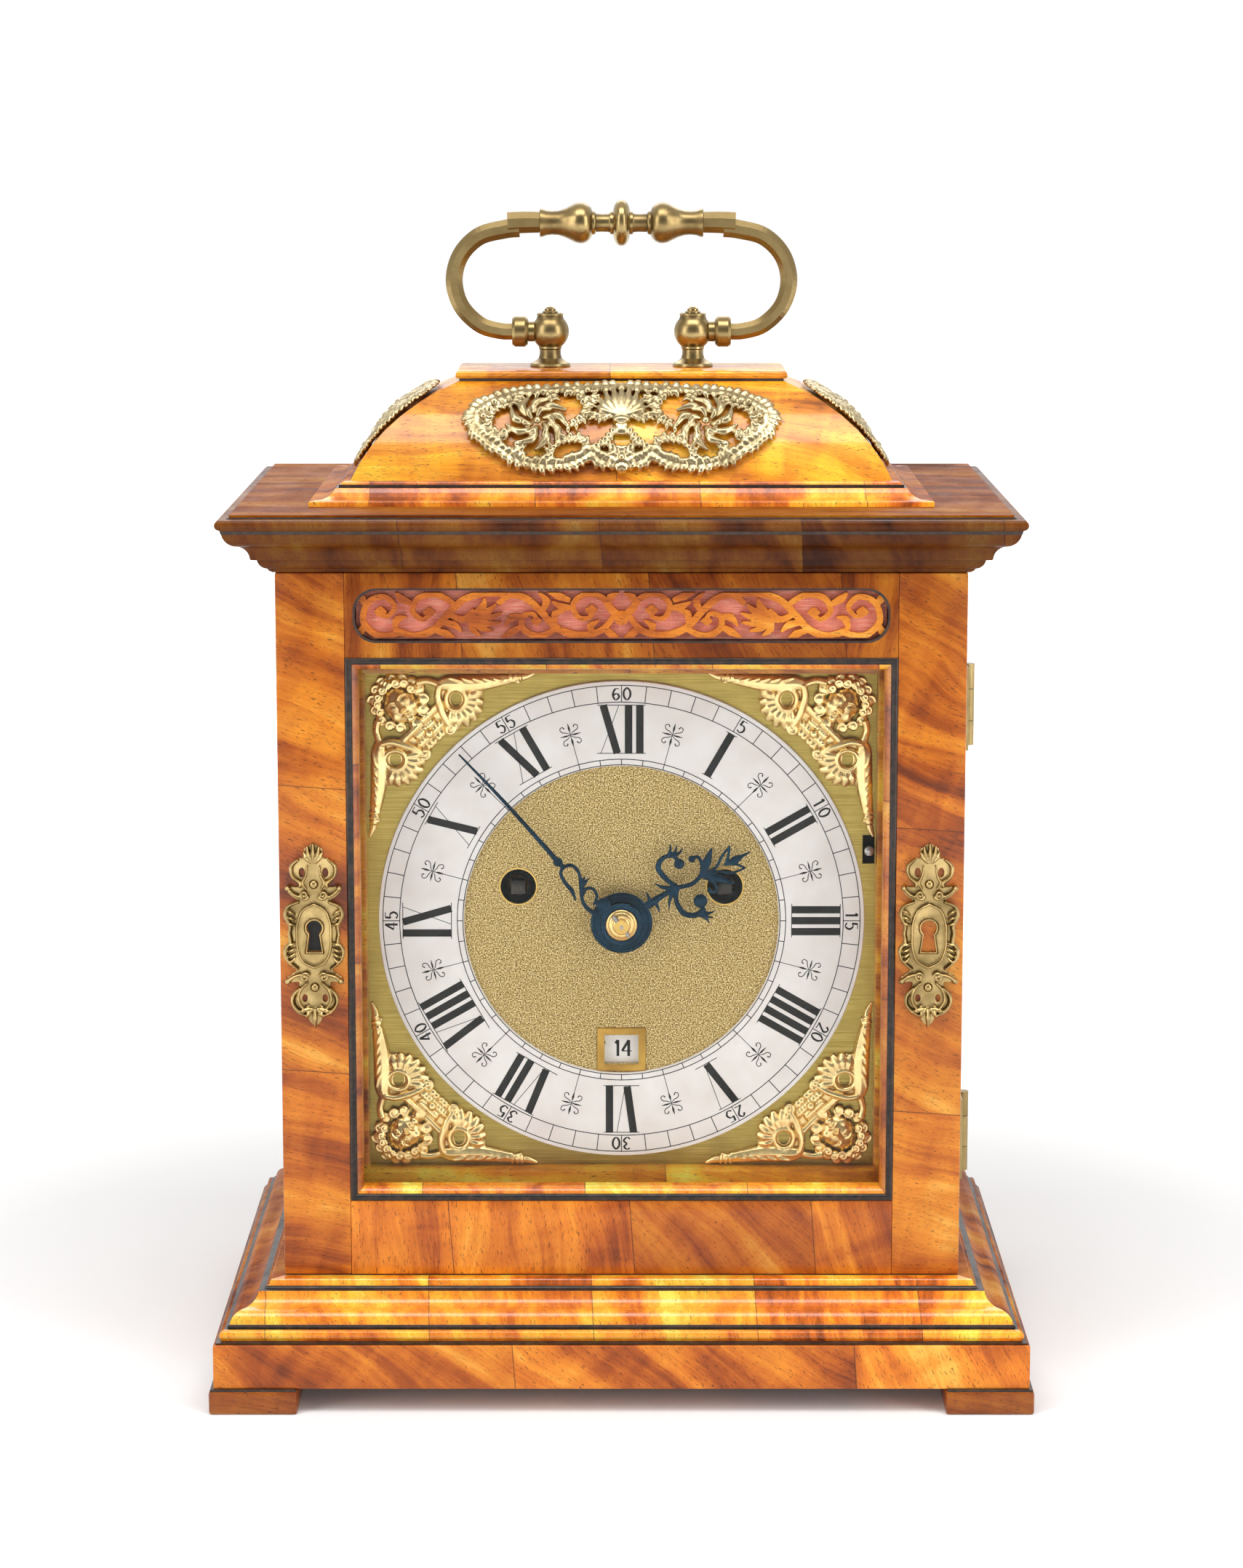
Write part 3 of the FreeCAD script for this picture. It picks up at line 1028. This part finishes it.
def build_plates():
    """The two plates, the pillars between them, the cock, the potence and the bell with its stand."""
    half = size.plate_width / 2
    top = size.plate_above
    outline = [(-half, -plate_below), (half, -plate_below), (half, top), (-half, top)]
    node(prism([outline], size.plate_thick, (0, -(y_movement - size.plate_thick), z_dial), "front", arbor_holes(True)),
         "front_plate")
    node(prism([outline], size.plate_thick, (0, y_train + size.plate_thick, z_dial), "front", arbor_holes(False)),
         "back_plate")
    pillars = [turned(scaled(PILLAR_SHARES, size.pillar_radius, size.plate_space),
                      (sign * (half - size.pillar_edge), y_train, z_dial + level), "forward")
               for sign in (1, -1) for level in (size.pillar_inset - plate_below, top - size.pillar_inset)]
    node(group(*pillars), "plate_pillars")
    z_verge = z_dial + size.verge_rise
    y_cock = y_train + size.plate_thick
    half_cock, half_tall = size.cock_width / 2, size.cock_height / 2
    cock_z = (z_verge - half_tall, z_verge + half_tall)
    feet = [block(both(sign, half_cock - size.cock_foot, half_cock), (y_cock, y_cock + size.cock_depth), cock_z)
            for sign in (1, -1)]
    bar = block((-half_cock, half_cock), (y_cock + size.cock_depth, y_cock + size.cock_depth + size.cock_thick), cock_z)
    bore = rod(size.verge + size.running_gap, (0, y_cock + size.cock_depth + 2 * size.overrun, z_verge),
               4 * size.overrun, "forward")
    node(cut(fuse(bar, *feet), bore), "back_cock")
    y_plate = -(y_movement - size.plate_thick)
    y_crown = y_train - size.crown_depth
    half_arm = size.potence_width / 2
    arm_x = (-half_arm, half_arm)
    arm_y = (y_plate, y_crown + size.potence_nose)
    z_low = z_dial + size.contrate_rise + size.potence_low
    z_high = z_dial + size.contrate_rise + size.potence_high
    web = block(arm_x, (y_plate, y_plate + size.potence_arm), (z_low, z_high + size.potence_arm))
    arms = [block(arm_x, arm_y, (level, level + size.potence_arm)) for level in (z_low, z_high)]
    bore = rod(size.crown_arbor + size.running_gap, (0, y_crown, z_low - size.overrun),
               z_high - z_low + 4 * size.overrun)
    node(cut(fuse(web, *arms), bore), "crown_potence")
    half_bridge = size.bridge_width / 2
    bridge = block((-half_bridge, half_bridge), (-y_movement, y_cock), (z_plates, z_plates + size.bridge_thick))
    z_mouth = z_plates + size.bridge_thick + size.bell_rise
    post = rod(size.bell_post, (0, 0, z_plates), size.bridge_thick + size.bell_rise + size.bell_height + size.bell_nut)
    node(fuse(bridge, post), "bell_stand")
    crown = size.bell_radius * BELL_CROWN_SHARE
    inside = size.bell_radius - size.bell_wall
    bell = [(inside, 0), (size.bell_radius, 0, BELL_BULGE), (crown, size.bell_height), (size.bell_post, size.bell_height),
            (size.bell_post, size.bell_height - size.bell_wall), (crown, size.bell_height - size.bell_wall, -BELL_BULGE)]
    node(turned(bell, (0, 0, z_mouth)), "bell")


def in_train(shape, label, x=0, rise=0):
    """Puts a worked wheel on its arbor line: local Z runs forward from the back plate."""
    return node(feature(standing(shape, (x, y_train, z_dial + rise))), label)


def arbor(radius):
    """A plain arbor between the plates with a pivot at each end."""
    reach = size.pivot_reach
    space = float(size.plate_space)
    shake = float(size.end_shake)
    return joined(shaft(size.pivot, -reach, size.plate_space + reach), shaft(radius, shake, space - shake))


def fusee(big_low):
    """A grooved fusee cone and its winding square, without the great wheel."""
    low = float(size.fusee_start)
    length = float(size.fusee_length)
    radii = (size.fusee_big, size.fusee_small) if big_low else (size.fusee_small, size.fusee_big)
    big, small = (float(radius) for radius in radii)
    groove = float(size.line_radius)
    points = [(0, low)]
    for turn in range(FUSEE_TURNS):
        for share, sink in ((0.0, 0), (0.3, groove), (0.7, groove)):
            part = (turn + share) / FUSEE_TURNS
            points.append((big + (small - big) * part - sink, low + length * part))
    points += [(small, low + length), (0, low + length)]
    square = float(size.square_side)
    end = float(front_level) + float(size.square_length)
    key = Part.makeBox(square, square, end - float(front_level), Vector(-square / 2, -square / 2, float(front_level)))
    return joined(lathe(points), shaft(size.pivot, -size.pivot_reach, size.plate_space),
                  shaft(size.arbor, size.end_shake, front_level), key)


def build_trains(tip_level):
    """Going train, motion work, strike train, escapement and hammer."""
    gap = float(size.running_gap)
    reach = root_of_squares(size.winding_x, size.winding_rise)
    module = 2 * float(reach) / (GREAT_TEETH + CENTRE_PINION)
    toward = math.degrees(math.atan2(-float(size.winding_rise), -float(size.winding_x)))
    great = moved(wheel(GREAT_TEETH, module, toward, size.wheel_thick), z=size.great_level)
    in_train(joined(fusee(True), great), "going_fusee", size.winding_x, size.winding_rise)
    pin_toward = math.degrees(math.atan2(float(size.winding_rise - size.pin_wheel_rise),
                                         float(size.pin_wheel_x - size.winding_x)))
    strike_great = moved(wheel(GREAT_TEETH, module, pin_toward + 180, size.wheel_thick),
                         z=size.plate_space - size.strike_great_drop)
    in_train(joined(fusee(False), strike_great), "strike_fusee", -size.winding_x, size.winding_rise)
    barrel = [(0, -size.pivot_reach), (size.pivot, -size.pivot_reach), (size.pivot, size.barrel_start),
              (size.barrel_radius, size.barrel_start), (size.barrel_radius, size.barrel_start + size.barrel_length),
              (size.pivot, size.barrel_start + size.barrel_length), (size.pivot, size.plate_space + size.pivot_reach),
              (0, size.plate_space + size.pivot_reach)]
    for sign, label in ((1, "going_barrel"), (-1, "strike_barrel")):
        node(turned(barrel, (sign * size.barrel_x, y_train, z_dial - size.barrel_drop), "forward"), label)

    leaf_step = 360 / CENTRE_PINION
    centre_pinion = moved(pinion(CENTRE_PINION, module, toward + 180 + leaf_step / 2, size.pinion_thick),
                          z=size.great_level - (size.pinion_thick - size.wheel_thick) / 2)
    contrate_module = 2 * float(size.contrate_rise) / (CENTRE_TEETH + CONTRATE_PINION)
    centre_wheel = moved(wheel(CENTRE_TEETH, contrate_module, 90, size.wheel_thick), z=size.centre_level)
    motion_module = float(size.minute_wheel_drop) / MOTION_TEETH
    motion_level = front_level + size.motion_gap
    cannon_wheel = moved(wheel(MOTION_TEETH, motion_module, -90, size.motion_wheel), z=motion_level)
    minute_level = dial_level + size.hour_hand_lift + size.hand_thick + size.hand_gap
    centre = joined(shaft(size.pivot, -size.pivot_reach, motion_level), centre_pinion, centre_wheel, cannon_wheel,
                    shaft(size.cannon_pipe, motion_level, minute_level),
                    shaft(size.hand_square, minute_level, tip_level + size.hand_tip))
    in_train(centre.cut(taper_pin(tip_level, gap)), "centre_arbor")
    step = 360 / MOTION_TEETH
    hour_module = 2 * float(size.minute_wheel_drop) / (HOUR_TEETH + MINUTE_PINION)
    minute_wheel = moved(wheel(MOTION_TEETH, motion_module, 90 + step / 2, size.motion_wheel), z=motion_level)
    leaves = moved(pinion(MINUTE_PINION, hour_module, 90 + 180 / MINUTE_PINION, size.minute_pinion),
                   z=motion_level + size.motion_wheel)
    in_train(joined(shaft(size.pivot, size.plate_space, motion_level + size.motion_wheel), minute_wheel, leaves),
             "minute_wheel", 0, -size.minute_wheel_drop)
    hour_level = motion_level + size.motion_wheel + size.hour_wheel_gap
    pipe = shaft(size.hour_pipe, hour_level, dial_level + size.hour_hand_lift + size.hand_thick)
    hour_wheel = joined(moved(wheel(HOUR_TEETH, hour_module, -90, size.motion_wheel), z=hour_level), pipe)
    in_train(hour_wheel.cut(shaft(float(size.cannon_pipe) + gap, hour_level, tip_level)), "hour_wheel")

    contrate_step = 360 / CONTRATE_PINION
    contrate_pinion = moved(pinion(CONTRATE_PINION, contrate_module, -90 + contrate_step / 2, size.pinion_thick),
                            z=size.centre_level - (size.pinion_thick - size.wheel_thick) / 2)
    rim = float(size.contrate_radius)
    plate = shaft(rim, size.contrate_level, size.contrate_level + size.wheel_thick)
    blocks = []
    for tooth in range(CONTRATE_TEETH):
        width = 2 * math.pi * rim / CONTRATE_TEETH * CONTRATE_TOOTH_SHARE
        one = Part.makeBox(rim * CONTRATE_RIM_SHARE, width, float(size.contrate_tooth),
                           Vector(rim * (1 - CONTRATE_RIM_SHARE) * INSIDE_SHARE, -width / 2,
                                  float(size.contrate_level + size.wheel_thick)))
        one.rotate(Vector(), Vector(0, 0, 1), tooth * 360 / CONTRATE_TEETH)
        blocks.append(one)
    in_train(joined(arbor(size.pivot), contrate_pinion, plate, *blocks), "contrate_wheel", 0, size.contrate_rise)

    crown_radius = float(size.crown_radius)
    ring = shaft(crown_radius, 0, size.crown_height * CROWN_RING_SHARE)
    ring = ring.cut(shaft(crown_radius * CROWN_INSIDE_SHARE, size.crown_height * CROWN_DISC_SHARE, size.crown_height))
    teeth = []
    for tooth in range(CROWN_TEETH):
        thick = crown_radius * (1 - CROWN_INSIDE_SHARE)
        width = 2 * math.pi * crown_radius / CROWN_TEETH * CROWN_TOOTH_SHARE
        low, high = float(size.crown_height) * CROWN_RING_SHARE, float(size.crown_height)
        saw = Part.Face(Part.makePolygon([Vector(0, 0, low), Vector(0, width, low), Vector(0, width, high),
                                          Vector(0, 0, low)]))
        saw = moved(saw.extrude(Vector(thick * INSIDE_SHARE, 0, 0)), x=crown_radius - thick)
        saw.rotate(Vector(), Vector(0, 0, 1), tooth * 360 / CROWN_TEETH)
        teeth.append(saw)
    staff = shaft(size.crown_arbor, size.potence_low - size.crown_rise + size.fit_gap, 0)
    crown_pinion = moved(pinion(CENTRE_PINION, module, 0, size.crown_pinion), z=-size.crown_pinion_drop)
    crown = joined(ring, staff, crown_pinion, *teeth)
    crown.translate(Vector(0, float(y_train - size.crown_depth), float(z_dial + size.contrate_rise + size.crown_rise)))
    node(feature(crown), "crown_wheel")

    pin_pinion = moved(pinion(CENTRE_PINION, module, pin_toward + leaf_step / 2, size.pinion_thick),
                       z=size.plate_space - size.strike_great_drop - (size.pinion_thick - size.wheel_thick) / 2)
    pin_module = 2 * float(size.pin_wheel_radius) / PIN_WHEEL_TEETH
    pin_disc = moved(wheel(PIN_WHEEL_TEETH, pin_module, 0, size.wheel_thick), z=size.pin_wheel_level)
    pins = []
    for number in range(STRIKING_PINS):
        angle = 2 * math.pi * number / STRIKING_PINS
        ring_radius = float(size.pin_wheel_radius) * PIN_RING_SHARE
        pin = shaft(size.striking_pin, size.pin_wheel_level, size.pin_wheel_level + size.wheel_thick
                    + size.striking_pin_length)
        pins.append(moved(pin, ring_radius * math.cos(angle), ring_radius * math.sin(angle)))
    in_train(joined(arbor(size.pivot), pin_pinion, pin_disc, *pins), "pin_wheel", -size.pin_wheel_x, size.pin_wheel_rise)

    hang = -(size.plate_thick + size.pendulum_stand_off)
    back = -(size.plate_thick + size.cock_depth + size.cock_thick)
    rod_length = float(size.pendulum_length)
    pendulum_rod = Part.makeCylinder(float(size.pendulum_rod), rod_length, Vector(0, 0, float(hang)), Vector(0, -1, 0))
    bob_radius, bob_half = float(size.bob_radius), float(size.bob_thick) / 2
    bob = lathe([(0, -bob_half), (bob_radius * BOB_FLAT_SHARE, -bob_half * BOB_EDGE_SHARE), (bob_radius, 0),
                 (bob_radius * BOB_FLAT_SHARE, bob_half * BOB_EDGE_SHARE), (0, bob_half)])
    pallets = []
    for sign in (1, -1):
        width, long = float(size.pallet_width), float(size.pallet_length)
        pallet = Part.makeBox(float(size.pallet_thick), long, width,
                              Vector(-float(size.pallet_thick) / 2, -long, -width / 2))
        pallet.rotate(Vector(), Vector(0, 0, 1), sign * PALLET_ANGLE)
        pallets.append(moved(pallet, z=size.crown_depth + sign * crown_radius * PALLET_SPREAD_SHARE))
    in_train(joined(shaft(size.verge, back, size.plate_space + size.pivot_reach), pendulum_rod,
                    moved(bob, 0, -rod_length, hang), *pallets), "verge_pendulum", 0, size.verge_rise)

    middle = y_train
    arm = float(size.hammer_arm)
    lift = float(size.hammer_lift)
    stalk = Part.makeBox(arm, lift, arm, Vector(-arm / 2, 0, float(middle) - arm / 2))
    head_end = float(size.hammer_x - size.bell_radius - size.hammer_gap)
    head = Part.makeCylinder(float(size.hammer_head), float(size.hammer_length),
                             Vector(head_end - float(size.hammer_length), lift, float(middle)), Vector(1, 0, 0))
    in_train(joined(arbor(size.pivot), stalk, head), "bell_hammer", -size.hammer_x, size.hammer_rise)
    build_lines()


def build_lines():
    """The taut span of each gut line, from its barrel to its fusee."""
    clear = float(size.line_radius + size.fit_gap)
    lines = []
    for sign in (1, -1):
        fusee_at = Vector(sign * float(size.winding_x), float(size.winding_rise), 0)
        barrel_at = Vector(sign * float(size.barrel_x), -float(size.barrel_drop), 0)
        span = barrel_at - fusee_at
        mean = (float(size.fusee_big) + float(size.fusee_small)) / 2 + clear
        drum = float(size.barrel_radius) + clear
        lean = math.asin((drum - mean) / span.Length)
        outward = Vector(-span.y, span.x, 0).normalize() * sign
        along = Vector(span).normalize()
        normal = outward * math.cos(lean) - along * math.sin(lean)
        start, end = fusee_at + normal * mean, barrel_at + normal * drum
        level = float(size.fusee_start) + float(size.fusee_length) / 2
        start.z, end.z = level, level
        line = Part.makeCylinder(float(size.line_radius), (end - start).Length, start, end - start)
        lines.append(standing(line, (0, y_train, z_dial)))
    node(feature(Part.makeCompound(lines)), "gut_lines")


def check_and_export():
    """Stops on any failed feature, then writes one file for each sub-part."""
    doc.recompute()
    for obj in doc.Objects:
        if "Invalid" in obj.State or "Error" in obj.State:
            raise RuntimeError("{} ({}) did not build".format(obj.Label, obj.Name))
    os.makedirs("parts", exist_ok=True)
    for label, obj in NODES.items():
        shape = obj.Shape
        if not shape.isValid() or not shape.Solids:
            raise RuntimeError("{} is not a valid solid".format(label))
        shape.exportStep(os.path.join("parts", label + ".step"))


build_base()
build_carcass()
build_top()
build_handle()
build_hinges()
build_front_door()
build_back_door()
build_dial()
tip = build_hands()
build_plates()
build_trains(tip)
check_and_export()
